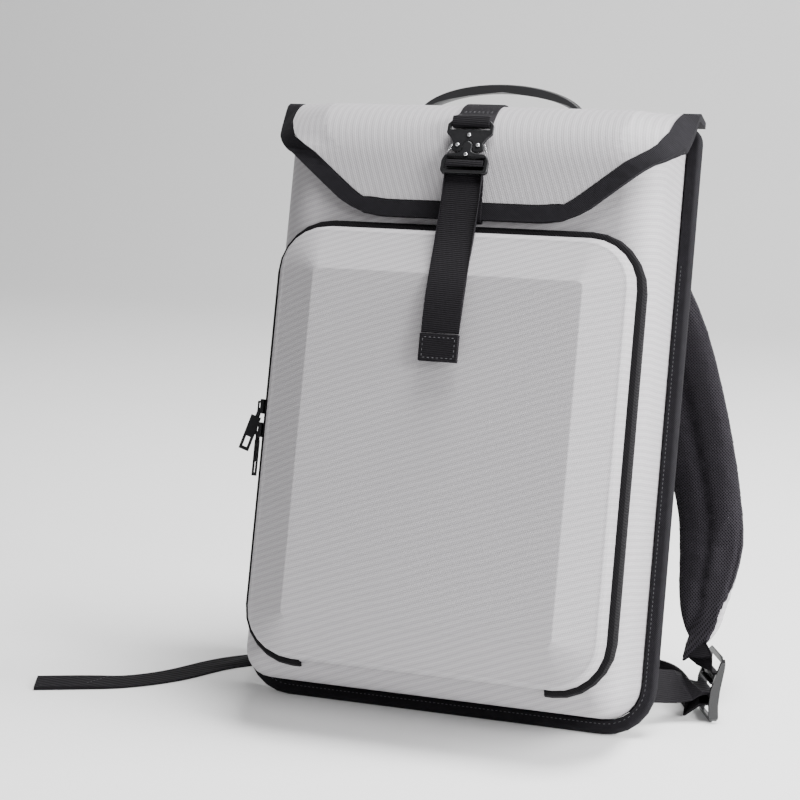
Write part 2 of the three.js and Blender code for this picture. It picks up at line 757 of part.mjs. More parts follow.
function buckleLever(side) {
  const outline = [
    [PLATE_WAIST + 1 + CLEAR, 4.6],
    [LEVER_REACH - 0.6, 0.9],
    [LEVER_REACH, 2],
    [PLATE_WAIST + 2.2, 8],
    [PLATE_WAIST + CLEAR, 8.2],
  ].map(([u, v]) => new THREE.Vector2(side * u, v));
  const depth = PLATE_THICK - 1;
  const flat = new THREE.ExtrudeGeometry(new THREE.Shape(outline), { depth, bevelEnabled: false });
  return placeOnBuckle(flat.translate(0, 0, 0.5));
}

// Rivets: across and up from the buckle's joint, and the face that each stands on
const RIVETS = [
  { u: 0, v: 15.2, out: PLATE_THICK },
  { u: -7.6, v: 7.2, out: PLATE_THICK },
  { u: 7.6, v: 7.2, out: PLATE_THICK },
  { u: 0, v: -1, out: FRAME_THICK },
];

function rivet({ u, v, out }) {
  const half = RIVET_HEAD / 2;
  const head = new THREE.CylinderGeometry(RIVET_RADIUS * 0.75, RIVET_RADIUS, RIVET_HEAD, 12);
  return placeOnBuckle(head.rotateX(Math.PI / 2).translate(u, v, out + CLEAR + half));
}

// Upper strap: from the rear edge over the crest, through the plate's slot and back under its bar
function upperStrap() {
  const points = [];
  const lastS = flapFlat + flapArc * 0.52;
  const stand = WEB_THICK / 2 + CLEAR;
  for (let i = 0; i <= 10; i++) {
    points.push(flapPoint(STRAP_X, mix(2, lastS, i / 10), -stand));
  }
  const barV = PLATE_TOP - BAR_WIDTH / 2;
  const round = BAR_WIDTH / 2 + 2 * CLEAR + WEB_THICK / 2;
  const front = PLATE_THICK + CLEAR + WEB_THICK / 2;
  points.push(onBuckle(0, barV + 4, front));
  points.push(onBuckle(0, barV, front + CLEAR));
  points.push(onBuckle(0, barV - round * 0.8, front - CLEAR));
  points.push(onBuckle(0, barV - round - 0.1, PLATE_THICK / 2));
  points.push(onBuckle(0, barV - round * 0.8, -WEB_THICK / 2));
  points.push(onBuckle(0, barV - 0.5, -WEB_THICK / 2 - CLEAR));
  return webbing(points, STRAP_WIDTH, WEB_THICK, vec(1, 0, 0));
}

// Course of the hanging strap below the buckle: shares of the way down, and of the way out to its stand
const TAIL_COURSE = [
  { down: 0, out: 0 },
  { down: 0.12, out: 0.02 },
  { down: 0.25, out: 0.1 },
  { down: 0.4, out: 0.36 },
  { down: 0.55, out: 0.76 },
  { down: 0.68, out: 0.96 },
  { down: 0.84, out: 1 },
];

const tailTopY = buckleY + FRAME_LOW * Math.sin(buckleTilt) - WEB_THICK - 1;
const tailTopZ = onBuckle(0, FRAME_LOW, 0).z - CLEAR;
const tailY = plateauY - TAIL_STAND;
const tailFoldZ = tailEndZ + TAIL_FOLD;

function tailPoints() {
  const over = SLIDE_HALF + 2 * CLEAR + WEB_THICK / 2;
  const front = SLIDE_FROM + SLIDE_THICK + CLEAR + WEB_THICK / 2;
  return [
    onBuckle(0, slideV + over + 0.2, 1.2),
    onBuckle(0, slideV + over * 0.75, front - 0.3),
    onBuckle(0, slideV, front),
    onBuckle(0, slideV - over * 0.8, front - 0.4),
    onBuckle(0, frameSlotLow + WEB_THICK + CLEAR, 1.6),
    onBuckle(0, frameSlotLow, -WEB_THICK),
    onBuckle(0, FRAME_LOW, -WEB_THICK),
    ...TAIL_COURSE.slice(1).map(({ down, out }) =>
      vec(STRAP_X, mix(tailTopY, tailY, out), mix(tailTopZ, tailEndZ, down)),
    ),
  ];
}

function hangingStrap() {
  const points = tailPoints();
  points[points.length - 1] = vec(STRAP_X, tailY, tailFoldZ + CLEAR);
  return webbing(points, STRAP_WIDTH, WEB_THICK, vec(1, 0, 0));
}

function strapEnd() {
  const half = STRAP_WIDTH / 2 + TAIL_FOLD_WIDER;
  const thick = WEB_THICK * 1.4;
  const low = vec(STRAP_X - half, tailY - thick, tailEndZ);
  const high = vec(STRAP_X + half, tailY + thick, tailFoldZ);
  return block(low, high);
}

// Strap behind the hanging one, from the slide bar round the flap's edge to the body above the zip
function anchorStrap() {
  const flapFace = -(flapFront + FLAP_BAND_PROUD + CLEAR + WEB_THICK);
  const under = bagTop - FLAP_REACH - CLEAR - WEB_THICK;
  const points = [
    onBuckle(0, slideV + 0.5, -WEB_THICK * 1.1),
    onBuckle(0, slideV - 3, -WEB_THICK * 1.6 - CLEAR),
    vec(STRAP_X, flapFace - 1.4, tailTopZ - 2),
    vec(STRAP_X, flapFace, tailTopZ - 14),
    vec(STRAP_X, flapFace, under + 1.5),
    vec(STRAP_X, flapFace + 1.5, under),
    vec(STRAP_X, -(SHELL_DEPTH + CLEAR), under),
  ];
  return webbing(points, STRAP_WIDTH - 1, WEB_THICK, vec(1, 0, 0));
}

// Carry handle: an arch behind the rim, its feet flat on the padded back
function carryHandle() {
  const half = HANDLE_SPAN / 2;
  const rise = BAG_HEIGHT + HANDLE_RISE - HANDLE_THICK / 2 - handleArchZ;
  const rings = [];
  for (let i = 0; i <= HANDLE_STEPS; i++) {
    const angle = degrees((180 * i) / HANDLE_STEPS);
    const end = Math.abs(Math.cos(angle)) ** 6;
    const width = mix(HANDLE_WIDTH, HANDLE_THICK, end);
    const middle = vec(-half * Math.cos(angle), backFace + width / 2, handleArchZ);
    middle.z += rise * Math.sin(angle) ** 0.8;
    const outward = vec(-Math.cos(angle) * rise, 0, Math.sin(angle) * half).normalize();
    rings.push(handleSection(middle, outward, width));
  }
  const footHalf = HANDLE_FOOT_WIDTH / 2;
  const foot = (side) =>
    block(
      vec(side * half - footHalf, backFace, handleFootZ),
      vec(side * half + footHalf, backFace + HANDLE_FOOT_THICK, handleArchZ + HANDLE_FOOT_THICK),
    );
  return join(loft(rings), foot(-1), foot(1));
}

function handleSection(middle, outward, width) {
  const steps = 8;
  return Array.from({ length: steps }, (_, i) => {
    const angle = degrees((360 * (i + 0.5)) / steps);
    const out = Math.sin(angle) * (HANDLE_THICK / 2);
    return middle
      .clone()
      .addScaledVector(outward, out)
      .add(vec(0, (Math.cos(angle) * width) / 2, 0));
  });
}

// Sections of a padded strap: side is 1 on the right and -1 on the left
function strapSections({ side, splay }) {
  const middles = STRAP_COURSE.map((row) =>
    leaned(
      vec(
        side * mix(STRAP_TOP_X, splay, row.splay),
        backFace + PAD_THICK / 2 + PAD_GAP + STRAP_BOW * row.bow,
        mix(BAG_HEIGHT - STRAP_TOP_DROP, STRAP_END_Z, row.fall),
      ),
    ),
  );
  const smooth = new THREE.CatmullRomCurve3(middles);
  const rows = STRAP_COURSE.length - 1;
  const steps = 3 * rows;
  return Array.from({ length: steps + 1 }, (_, i) => {
    const index = Math.min(Math.floor((i / steps) * rows), rows - 1);
    const share = (i / steps) * rows - index;
    const between = (name) => mix(STRAP_COURSE[index][name], STRAP_COURSE[index + 1][name], share);
    const along = smooth.getTangent(i / steps);
    const level = vec(1, 0, 0).addScaledVector(along, -along.x).normalize();
    level.applyAxisAngle(along, degrees(between("turn")));
    const slant = degrees(between("slant"));
    const across = level.clone().multiplyScalar(Math.cos(slant));
    across.addScaledVector(along, -side * Math.sin(slant));
    return {
      at: smooth.getPoint(i / steps),
      along,
      across,
      through: level.clone().cross(along),
      width: PAD_WIDTH * between("width"),
      thick: PAD_THICK * between("thick"),
    };
  });
}

// Rounded section of a pad
function padSection({ at, across, through, width, thick }) {
  const steps = 10;
  return Array.from({ length: steps }, (_, i) => {
    const angle = degrees((360 * (i + 0.5)) / steps);
    const flat = Math.sign(Math.cos(angle)) * Math.abs(Math.cos(angle)) ** 0.5;
    const high = Math.sign(Math.sin(angle)) * Math.abs(Math.sin(angle)) ** 0.8;
    return at
      .clone()
      .addScaledVector(across, (flat * width) / 2)
      .addScaledVector(through, (high * thick) / 2);
  });
}

const shoulderStrap = (place) => loft(strapSections(place).map(padSection));

// Ladder lock at the foot of a strap, standing on the floor: its foot, and its own three directions
function lockFrame(place) {
  const tip = strapSections(place).at(-1).at;
  const turn = degrees(place.turn);
  const across = vec(Math.cos(turn), -Math.sin(turn), 0);
  const level = vec(Math.sin(turn), Math.cos(turn), 0);
  const up = vec(0, 0, Math.sqrt(LOCK_LENGTH ** 2 - LOCK_TIP ** 2));
  up.addScaledVector(level, LOCK_TIP).normalize();
  const out = across.clone().cross(up);
  const foot = vec(tip.x + place.side * place.aside, tip.y + place.back, 0);
  foot.z = (LOCK_THICK / 2) * Math.abs(out.z);
  return { foot, across, up, out };
}

const lockPitch = (LOCK_LENGTH - LOCK_BAR) / 3;

// A bar of the ladder lock, counted from its foot
function lockBar(frame, index) {
  return frame.foot.clone().addScaledVector(frame.up, LOCK_BAR / 2 + index * lockPitch);
}

function ladderLock(place) {
  const { foot, across, up, out } = lockFrame(place);
  const half = LOCK_WIDTH / 2;
  const inner = WEB_WIDTH / 2 + LOCK_PLAY;
  const outline = [
    [LOCK_CHAMFER - half, 0],
    [half - LOCK_CHAMFER, 0],
    [half, LOCK_CHAMFER],
    [half, LOCK_LENGTH - LOCK_CHAMFER],
    [half - LOCK_CHAMFER, LOCK_LENGTH],
    [LOCK_CHAMFER - half, LOCK_LENGTH],
    [-half, LOCK_LENGTH - LOCK_CHAMFER],
    [-half, LOCK_CHAMFER],
  ];
  const flat = new THREE.Shape(outline.map(([u, v]) => new THREE.Vector2(u, v)));
  const plate = new THREE.ExtrudeGeometry(flat, { depth: 2 * half, bevelEnabled: false });
  plate.translate(0, 0, -half);
  const rear = LOCK_RAIL.map((row) => [row.rear, row.up]);
  const front = LOCK_RAIL.map((row) => [row.front, row.up]).reverse();
  const rail = new THREE.Shape(
    [...rear, ...front].map(([outward, share]) => new THREE.Vector2(outward, share * LOCK_LENGTH)),
  );
  const body = new THREE.ExtrudeGeometry(rail, { depth: 2 * half, bevelEnabled: false });
  body.rotateY(-Math.PI / 2).translate(half, 0, 0);
  const slots = [0, 1, 2].map((i) =>
    block(
      vec(-inner, LOCK_BAR + i * lockPitch, -half),
      vec(inner, (i + 1) * lockPitch, half),
    ),
  );
  const faces = [
    block(vec(-inner, -LOCK_BAR, LOCK_THICK / 2), vec(inner, 2 * LOCK_LENGTH, half)),
    block(vec(-inner, -LOCK_BAR, -half), vec(inner, 2 * LOCK_LENGTH, -LOCK_THICK / 2)),
  ];
  const placed = new THREE.Matrix4().makeBasis(across, up, out).setPosition(foot);
  return cut(common(plate, body), ...slots, ...faces).applyMatrix4(placed);
}

// Middle line of webbing that comes over a bar of the lock, round its far face and back below it
function roundBar(frame, index) {
  const bar = lockBar(frame, index);
  return [0, 45, 90, 135, 180].map((angle) =>
    bar
      .clone()
      .addScaledVector(frame.up, WRAP_RADIUS * Math.cos(degrees(angle)))
      .addScaledVector(frame.out, -WRAP_RADIUS * Math.sin(degrees(angle))),
  );
}

// Tab from the padded strap's sewn end, round the lock's third bar
function strapTab(place) {
  const frame = lockFrame(place);
  const end = strapSections(place).at(-1);
  const normal = end.through.clone().cross(end.across).normalize();
  if (normal.dot(end.along) < 0) normal.negate();
  const start = end.at.clone().addScaledVector(normal, TAB_START);
  const round = roundBar(frame, 2);
  const before = round[0].clone().addScaledVector(frame.out, LOCK_THICK);
  const last = round.at(-1).clone().addScaledVector(frame.out, LOCK_THICK);
  const middle = start.clone().lerp(before, 0.5);
  const turning = end.across.clone().lerp(frame.across, 0.5);
  const points = [start, middle, before, ...round, last];
  const across = points.map((_, i) => [end.across, turning][i] ?? frame.across);
  return webbing(points, TAB_WIDTH, WEB_THICK, across);
}

// Webbing from the padded back to the lock, round its second bar, and on over the floor
function strapWebbing(place) {
  const frame = lockFrame(place);
  const { word, side } = place;
  const panelFlat = rimHalf - RIM_BAND - CLEAR - BACK_EDGE;
  const y = backFace + WEB_THICK;
  const root = [
    leaned(vec(side * (panelFlat - WEB_ROOT_LENGTH), y, WEB_ROOT_Z)),
    leaned(vec(side * panelFlat, y, WEB_ROOT_Z)),
  ];
  const round = roundBar(frame, 1);
  const entry = round[0].clone().addScaledVector(frame.out, 2.7 * LOCK_THICK);
  const upright = vec(0, -Math.sin(-lean), Math.cos(lean));
  const over = frame.across.clone().negate();
  const turnedOver = (share) => upright.clone().lerp(over, share);
  const points = [...root];
  const across = root.map(() => upright);
  for (const { way, turned } of LOWER_WEB) {
    points.push(root[1].clone().lerp(entry, way));
    across.push(turnedOver(turned / 90));
  }
  points.push(entry, ...round);
  across.push(...[entry, ...round].map(() => over));
  const leave = round.at(-1).clone().addScaledVector(frame.out, 1.5 * LOCK_THICK);
  points.push(leave);
  across.push(over);
  const thick = points.map(() => WEB_THICK);
  const places = TAILS[word].map(({ x, y }) => vec(x, y + shift, 0));
  TAILS[word].forEach(({ stand }, i) => {
    const full = i < places.length - 2 ? WEB_THICK : 2 * WEB_THICK;
    const angle = (stand * Math.PI) / 2;
    const rise = (full * Math.cos(angle) + WEB_WIDTH * Math.sin(angle)) / 2;
    const before = places[i - 1] ?? leave;
    const after = places[i + 1] ?? places[i];
    const heading = after.clone().sub(before).setZ(0).normalize();
    const right = heading.cross(vec(0, 0, 1));
    points.push(places[i].clone().setZ(rise + CLEAR));
    across.push(right.multiplyScalar(Math.cos(angle)).add(vec(0, 0, Math.sin(angle))));
    thick.push(full);
  });
  return webbing(points, WEB_WIDTH, thick, across);
}

// Zip slider on the left side of the gusset, with a bridge that holds its pull
const zipSide = -(pocketHalf + ZIP_BULGE + CLEAR);
const pastFlat = Math.max(-zipSide - (shellFrontHalf - SHELL_EDGE), 0);
const edgeDrop = SHELL_EDGE - Math.sqrt(SHELL_EDGE ** 2 - Math.min(pastFlat, SHELL_EDGE) ** 2);
const sliderY = Math.min(SLIDER_Y, edgeDrop - SLIDER_WIDTH / 2 - CLEAR) - SHELL_DEPTH;
const pinX = zipSide - SLIDER_THICK - BRIDGE_GAP / 2;
const bridgeLow = ({ z }) => z - BRIDGE_LENGTH / 2;
const pinZ = (slider) => bridgeLow(slider) + BRIDGE_POST + PIN_RADIUS + CLEAR;

function zipSlider(slider) {
  const face = zipSide - SLIDER_THICK;
  const halfBridge = BRIDGE_WIDTH / 2;
  const low = bridgeLow(slider);
  const high = low + BRIDGE_LENGTH;
  const body = block(
    vec(face, sliderY - SLIDER_WIDTH / 2, slider.z - SLIDER_LENGTH / 2),
    vec(zipSide, sliderY + SLIDER_WIDTH / 2, slider.z + SLIDER_LENGTH / 2),
  );
  const arch = block(
    vec(face - BRIDGE_GAP - BRIDGE_THICK, sliderY - halfBridge, low),
    vec(face + 1, sliderY + halfBridge, high),
  );
  const gap = block(
    vec(face - BRIDGE_GAP, sliderY - BRIDGE_WIDTH, low + BRIDGE_POST),
    vec(face, sliderY + BRIDGE_WIDTH, high - BRIDGE_POST),
  );
  return join(body, cut(arch, gap));
}

// Pull: a pin through the bridge, an arm at each side of it and a plate with a slot
function zipPull(slider) {
  const armMiddle = BRIDGE_WIDTH / 2 + ARM_GAP + ARM_THICK / 2;
  const reach = armMiddle + ARM_THICK / 2;
  const pin = new THREE.CylinderGeometry(PIN_RADIUS, PIN_RADIUS, 2 * reach, 12);
  const arm = (side) =>
    block(
      vec(-PIN_RADIUS, side * armMiddle - ARM_THICK / 2, -PULL_EYE - ARM_THICK),
      vec(PIN_RADIUS, side * armMiddle + ARM_THICK / 2, PIN_RADIUS),
    );
  const crossbar = block(
    vec(-PIN_RADIUS, -reach, -PULL_EYE - ARM_THICK),
    vec(PIN_RADIUS, reach, -PULL_EYE),
  );
  const half = PULL_WIDTH / 2;
  const holeLow = -PULL_EYE - PULL_LENGTH + PULL_HOLE_END;
  const plate = cut(
    block(vec(-half, -ARM_THICK / 2, -PULL_EYE - PULL_LENGTH), vec(half, ARM_THICK / 2, -PULL_EYE)),
    block(
      vec(-PULL_HOLE_WIDTH / 2, -half, holeLow),
      vec(PULL_HOLE_WIDTH / 2, half, holeLow + PULL_HOLE_LENGTH),
    ),
  );
  if (slider.faceFront) plate.translate(0, -armMiddle, 0);
  else plate.rotateZ(Math.PI / 2);
  const pull = join(pin, arm(-1), arm(1), crossbar, plate);
  pull.rotateY(degrees(slider.tilt));
  return pull.translate(pinX, sliderY, pinZ(slider));
}

const group = new THREE.Group();
const bag = new THREE.Group();
bag.rotation.x = -lean;
bag.position.set(0, shift, lift);
group.add(bag);

function piece(parent, name, geometry, look) {
  const mesh = new THREE.Mesh(geometry, look);
  mesh.name = name;
  parent.add(mesh);
  return mesh;
}

piece(bag, "body_shell", bodyShell(), GREY_CLOTH);
piece(bag, "back_panel", backPanel(), BLACK_WEB);
piece(bag, "rim_binding", rimBinding(), BLACK_TWILL);
piece(bag, "pocket_shell", pocketShell(), GREY_CLOTH);
const { zip, hinge } = gussets();
piece(bag, "pocket_zip", zip, BLACK_WEB);
piece(bag, "pocket_hinge", hinge, GREY_CLOTH);
piece(bag, "flap", flapPanel(), GREY_CLOTH);
piece(bag, "flap_binding", flapBinding(), BLACK_TWILL);
piece(bag, "closing_strap_upper", upperStrap(), BLACK_WEB);
piece(bag, "closing_strap_anchor", anchorStrap(), BLACK_WEB);
piece(bag, "closing_strap_lower", hangingStrap(), BLACK_WEB);
piece(bag, "closing_strap_end", strapEnd(), BLACK_WEB);
piece(bag, "buckle_plate", buckleUpper(), BLACK_METAL);
piece(bag, "buckle_frame", buckleFrame(), BLACK_METAL);
piece(bag, "buckle_slide", buckleSlide(), BLACK_METAL);
piece(bag, "buckle_lever_left", buckleLever(-1), STEEL);
piece(bag, "buckle_lever_right", buckleLever(1), STEEL);
RIVETS.forEach((place, i) => piece(bag, `buckle_rivet_${i + 1}`, rivet(place), STEEL));
piece(bag, "carry_handle", carryHandle(), BLACK_GRIP);
SLIDERS.forEach((slider, i) => {
  piece(bag, `zip_slider_${i + 1}`, zipSlider(slider), BLACK_METAL);
  piece(bag, `zip_pull_${i + 1}`, zipPull(slider), BLACK_METAL);
});
for (const place of SIDES) {
  piece(group, `shoulder_strap_${place.word}`, shoulderStrap(place), BLACK_WEB);
  piece(group, `strap_tab_${place.word}`, strapTab(place), BLACK_WEB);
  piece(group, `strap_webbing_${place.word}`, strapWebbing(place), BLACK_WEB);
  piece(group, `ladder_lock_${place.word}`, ladderLock(place), BLACK_GLOSS);
}

export default group;
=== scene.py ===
import json
import math

import bmesh
import bpy
from mathutils import Matrix, Vector
from mathutils.bvhtree import BVHTree
from mathutils.kdtree import KDTree


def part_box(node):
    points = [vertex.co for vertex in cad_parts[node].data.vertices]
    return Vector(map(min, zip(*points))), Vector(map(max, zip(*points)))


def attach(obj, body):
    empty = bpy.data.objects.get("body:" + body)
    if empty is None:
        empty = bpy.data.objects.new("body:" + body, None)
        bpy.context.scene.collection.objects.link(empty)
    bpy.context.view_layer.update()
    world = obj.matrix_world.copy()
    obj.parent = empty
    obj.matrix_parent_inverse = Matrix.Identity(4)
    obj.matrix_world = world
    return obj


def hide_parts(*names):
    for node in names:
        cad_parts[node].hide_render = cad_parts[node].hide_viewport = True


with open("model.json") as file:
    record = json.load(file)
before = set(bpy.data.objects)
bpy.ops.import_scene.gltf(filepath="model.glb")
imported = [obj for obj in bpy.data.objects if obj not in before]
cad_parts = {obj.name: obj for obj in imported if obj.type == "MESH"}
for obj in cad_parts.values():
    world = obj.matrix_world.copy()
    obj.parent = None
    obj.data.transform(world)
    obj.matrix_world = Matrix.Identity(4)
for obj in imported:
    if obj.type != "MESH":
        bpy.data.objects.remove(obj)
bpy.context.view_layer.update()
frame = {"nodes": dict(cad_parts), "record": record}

MM = 0.001
ACROSS = Vector((1, 0, 0))
UP = Vector((0, 0, 1))

# How the bag stands: leaned back about X, then set on the floor
LEAN = math.radians(15)
STAND = (0, -3.202 * MM, -0.141 * MM)
PLACE = Matrix.Translation(STAND) @ Matrix.Rotation(-LEAN, 4, "X")

# Camera: place in millimetres and directions, in the upright bag's frame; lens in millimetres
CAMERA_AT = (334.5, -1294.5, 157.6)
CAMERA_RIGHT = (0.95492, 0.28204, 0.09263)
CAMERA_UP = (-0.07249, -0.08103, 0.99407)
CAMERA_LENS = 78.75
SENSOR = 36

# Colours
SILVER = (0.365, 0.353, 0.367)
HINGE_GREY = (0.32, 0.31, 0.322)
TWILL_BLACK = (0.005, 0.0046, 0.0058)
WEB_BLACK = (0.004, 0.0035, 0.0045)
MESH_BLACK = (0.004, 0.0035, 0.0045)
METAL_BLACK = (0.01, 0.01, 0.011)
STEEL = (0.78, 0.78, 0.8)
GRIP_BLACK = (0.009, 0.009, 0.01)
GLOSS_BLACK = (0.012, 0.012, 0.013)
THREAD_GREY = (0.045, 0.045, 0.05)
FLOOR_WHITE = (0.8, 0.8, 0.8)
PAPER_GLOW = 0.1

# Directions across which the shell cloth's bands repeat, and weave sizes
POCKET_GRAIN = (-0.34, 0.3, 0.9)
FLAP_GRAIN = (0.9, -0.25, 0.4)
SHELL_BAND = 4.6 * MM
SHELL_LINE = 1.5 * MM
SHELL_CROSS = 1.3 * MM
TWILL_LINE = 1.1 * MM
WEB_RIB = 1.5 * MM
WEB_YARN = 0.9 * MM
MESH_CELL = 1.7 * MM
ZIP_TOOTH = 1.5 * MM
STEEL_BRUSH = 0.25 * MM
THREAD_PLY = 0.4 * MM


def placed(x, y, z):
    """Where a place on the upright bag, in millimetres, comes to on the leaning one."""
    return PLACE @ Vector((x * MM, y * MM, z * MM))


class Surface:
    """A procedural material under construction."""

    def __init__(self, name, colour, roughness, metallic=0.0):
        self.material = bpy.data.materials.new(name)
        self.material.use_nodes = True
        self.tree = self.material.node_tree
        self.shader = self.tree.nodes["Principled BSDF"]
        self.shader.inputs["Base Color"].default_value = (*colour, 1)
        self.shader.inputs["Roughness"].default_value = roughness
        self.shader.inputs["Metallic"].default_value = metallic
        self.colour = colour
        self.place = self.node("ShaderNodeTexCoord").outputs["Object"]

    def node(self, kind, inputs=None, **settings):
        """A new node, with its inputs linked or set."""
        made = self.tree.nodes.new(kind)
        for key, value in settings.items():
            setattr(made, key, value)
        for key, value in (inputs or {}).items():
            if isinstance(value, bpy.types.NodeSocket):
                self.tree.links.new(value, made.inputs[key])
            else:
                made.inputs[key].default_value = value
        return made

    def maths(self, operation, *values):
        inputs = dict(enumerate(values))
        return self.node("ShaderNodeMath", inputs, operation=operation).outputs[0]

    def total(self, *shares):
        """Sum of amounts, each times its share."""
        result = 0.0
        for amount, share in shares:
            result = self.maths("MULTIPLY_ADD", amount, share, result)
        return result

    def noise(self, scale, detail=3.0):
        made = self.node(
            "ShaderNodeTexNoise", {"Vector": self.place, "Scale": scale, "Detail": detail}
        )
        return made.outputs["Fac"]

    def stripes(self, direction, spacing, wobble=0.0, wobble_scale=60.0):
        """Waves from 0 to 1 across a direction, one for each spacing."""
        across = Vector(direction).normalized() * (2 * math.pi / spacing)
        dot = self.node(
            "ShaderNodeVectorMath", {0: self.place, 1: tuple(across)}, operation="DOT_PRODUCT"
        )
        phase = dot.outputs["Value"]
        if wobble:
            phase = self.maths("MULTIPLY_ADD", self.noise(wobble_scale), wobble, phase)
        wave = self.maths("SINE", phase)
        return self.maths("MULTIPLY_ADD", wave, 0.5, 0.5)

    def shade(self, amount, low, high):
        """Base colour that runs from low to high shares of the named colour."""
        ramp = self.node("ShaderNodeValToRGB", {"Fac": amount})
        ramp.color_ramp.elements[0].color = (*(low * c for c in self.colour), 1)
        ramp.color_ramp.elements[1].color = (*(min(high * c, 1) for c in self.colour), 1)
        self.tree.links.new(ramp.outputs["Color"], self.shader.inputs["Base Color"])

    def rough(self, amount, low, high):
        """Roughness that runs from low, where the amount is 0, to high."""
        spread = self.node(
            "ShaderNodeMapRange", {"Value": amount, "To Min": low, "To Max": high}
        )
        self.tree.links.new(spread.outputs["Result"], self.shader.inputs["Roughness"])

    def bump(self, height, depth, strength):
        made = self.node(
            "ShaderNodeBump", {"Height": height, "Distance": depth, "Strength": strength}
        )
        self.tree.links.new(made.outputs["Normal"], self.shader.inputs["Normal"])

    def shine(self, level):
        self.shader.inputs["Specular IOR Level"].default_value = level


def shell_cloth(name="shell_cloth", colour=SILVER, across=POCKET_GRAIN):
    """Fine yarns with soft wavy bands, over a moulded shell."""
    s = Surface(name, colour, roughness=0.55)
    along = (across[2], across[1], -across[0])
    band = s.stripes(across, SHELL_BAND, wobble=5.0, wobble_scale=18)
    line = s.stripes(across, SHELL_LINE, wobble=3.0, wobble_scale=60)
    yarn = s.stripes(along, SHELL_CROSS, wobble=4.0, wobble_scale=60)
    weave = s.total((line, 0.6), (yarn, 0.4))
    fuzz = s.noise(scale=1100, detail=2)
    s.shade(s.total((weave, 0.45), (fuzz, 0.35), (band, 0.3)), low=0.66, high=1.14)
    s.rough(s.noise(scale=14), low=0.48, high=0.62)
    s.bump(s.total((weave, 1.0), (band, 0.5)), depth=0.14 * MM, strength=0.6)
    s.shine(0.35)
    return s.material


def binding_tape():
    """Black twill tape, paler where it is rubbed."""
    s = Surface("binding", TWILL_BLACK, roughness=0.75)
    line = s.stripes((1, 0.7, 1), TWILL_LINE, wobble=1.5, wobble_scale=120)
    rubbed = s.noise(scale=160, detail=4)
    s.shade(s.total((line, 0.5), (rubbed, 0.8)), low=0.45, high=2.1)
    s.rough(line, low=0.65, high=0.85)
    s.bump(line, depth=0.25 * MM, strength=0.6)
    s.shine(0.12)
    return s.material


def webbing():
    """Black webbing: ribs across it and yarns along it."""
    s = Surface("webbing", WEB_BLACK, roughness=0.7)
    rib = s.stripes((0.05, 0.35, 1), WEB_RIB, wobble=0.8, wobble_scale=200)
    yarn = s.stripes((1, 0.3, 0), WEB_YARN, wobble=0.8, wobble_scale=200)
    weave = s.maths("MULTIPLY", rib, s.maths("MULTIPLY_ADD", yarn, 0.5, 0.5))
    s.shade(s.total((weave, 1.0), (s.noise(scale=300), 0.5)), low=0.5, high=2.2)
    s.rough(weave, low=0.6, high=0.82)
    s.bump(weave, depth=0.3 * MM, strength=0.8)
    s.shine(0.12)
    return s.material


def open_mesh():
    """Black air mesh: slanting cells with dark holes."""
    s = Surface("mesh", MESH_BLACK, roughness=0.8)
    one = s.stripes((1, 0.2, 1), MESH_CELL, wobble=0.8, wobble_scale=80)
    two = s.stripes((1, 0.2, -1), MESH_CELL, wobble=0.8, wobble_scale=80)
    strand = s.maths("MAXIMUM", one, two)
    s.shade(strand, low=0.1, high=5.0)
    s.rough(strand, low=0.9, high=0.6)
    s.bump(strand, depth=0.7 * MM, strength=0.9)
    s.shine(0.12)
    return s.material


def zip_tape():
    """Black zip tape with a row of teeth."""
    s = Surface("zip", WEB_BLACK, roughness=0.6)
    tooth = s.stripes((1, 0.1, 1), ZIP_TOOTH)
    s.shade(s.total((tooth, 1.0), (s.noise(scale=250), 0.4)), low=0.5, high=1.2)
    s.rough(tooth, low=0.85, high=0.7)
    s.bump(tooth, depth=0.2 * MM, strength=0.5)
    s.shine(0.12)
    return s.material


def coated_metal():
    """Black coating, a little worn."""
    s = Surface("black_metal", METAL_BLACK, roughness=0.33, metallic=0.45)
    worn = s.noise(scale=420, detail=5)
    s.shade(worn, low=0.6, high=1.9)
    s.rough(s.noise(scale=90, detail=4), low=0.26, high=0.44)
    s.bump(worn, depth=0.03 * MM, strength=0.3)
    return s.material


def bright_steel():
    """Brushed bright steel."""
    s = Surface("steel", STEEL, roughness=0.22, metallic=1.0)
    brushed = s.stripes((0.1, 1, 1), STEEL_BRUSH, wobble=2.0, wobble_scale=400)
    s.shade(brushed, low=0.86, high=1.05)
    s.rough(brushed, low=0.17, high=0.3)
    s.bump(brushed, depth=0.01 * MM, strength=0.3)
    return s.material


def grip():
    """Black moulded grip."""
    s = Surface("handle_grip", GRIP_BLACK, roughness=0.42)
    grain = s.noise(scale=1400, detail=2)
    s.shade(s.noise(scale=40), low=0.7, high=1.6)
    s.rough(grain, low=0.36, high=0.52)
    s.bump(grain, depth=0.05 * MM, strength=0.4)
    return s.material


def gloss_moulding():
    """Glossy black moulding."""
    s = Surface("black_plastic", GLOSS_BLACK, roughness=0.14)
    s.shade(s.noise(scale=60), low=0.7, high=1.3)
    s.rough(s.noise(scale=220, detail=4), low=0.1, high=0.24)
    s.bump(s.noise(scale=30), depth=0.1 * MM, strength=0.2)
    return s.material


def sewing_thread():
    """Dark grey sewing thread, a little shiny."""
    s = Surface("thread", THREAD_GREY, roughness=0.5)
    ply = s.stripes((1, 0.4, 1), THREAD_PLY)
    s.shade(ply, low=0.7, high=1.3)
    s.bump(ply, depth=0.05 * MM, strength=0.5)
    return s.material


def sweep_paper():
    """White paper that glows a little, as it does under studio lamps."""
    s = Surface("sweep", FLOOR_WHITE, roughness=0.9)
    s.shade(s.noise(scale=3), low=0.985, high=1.0)
    s.shader.inputs["Emission Color"].default_value = (1, 1, 1, 1)
    s.shader.inputs["Emission Strength"].default_value = PAPER_GLOW
    return s.material


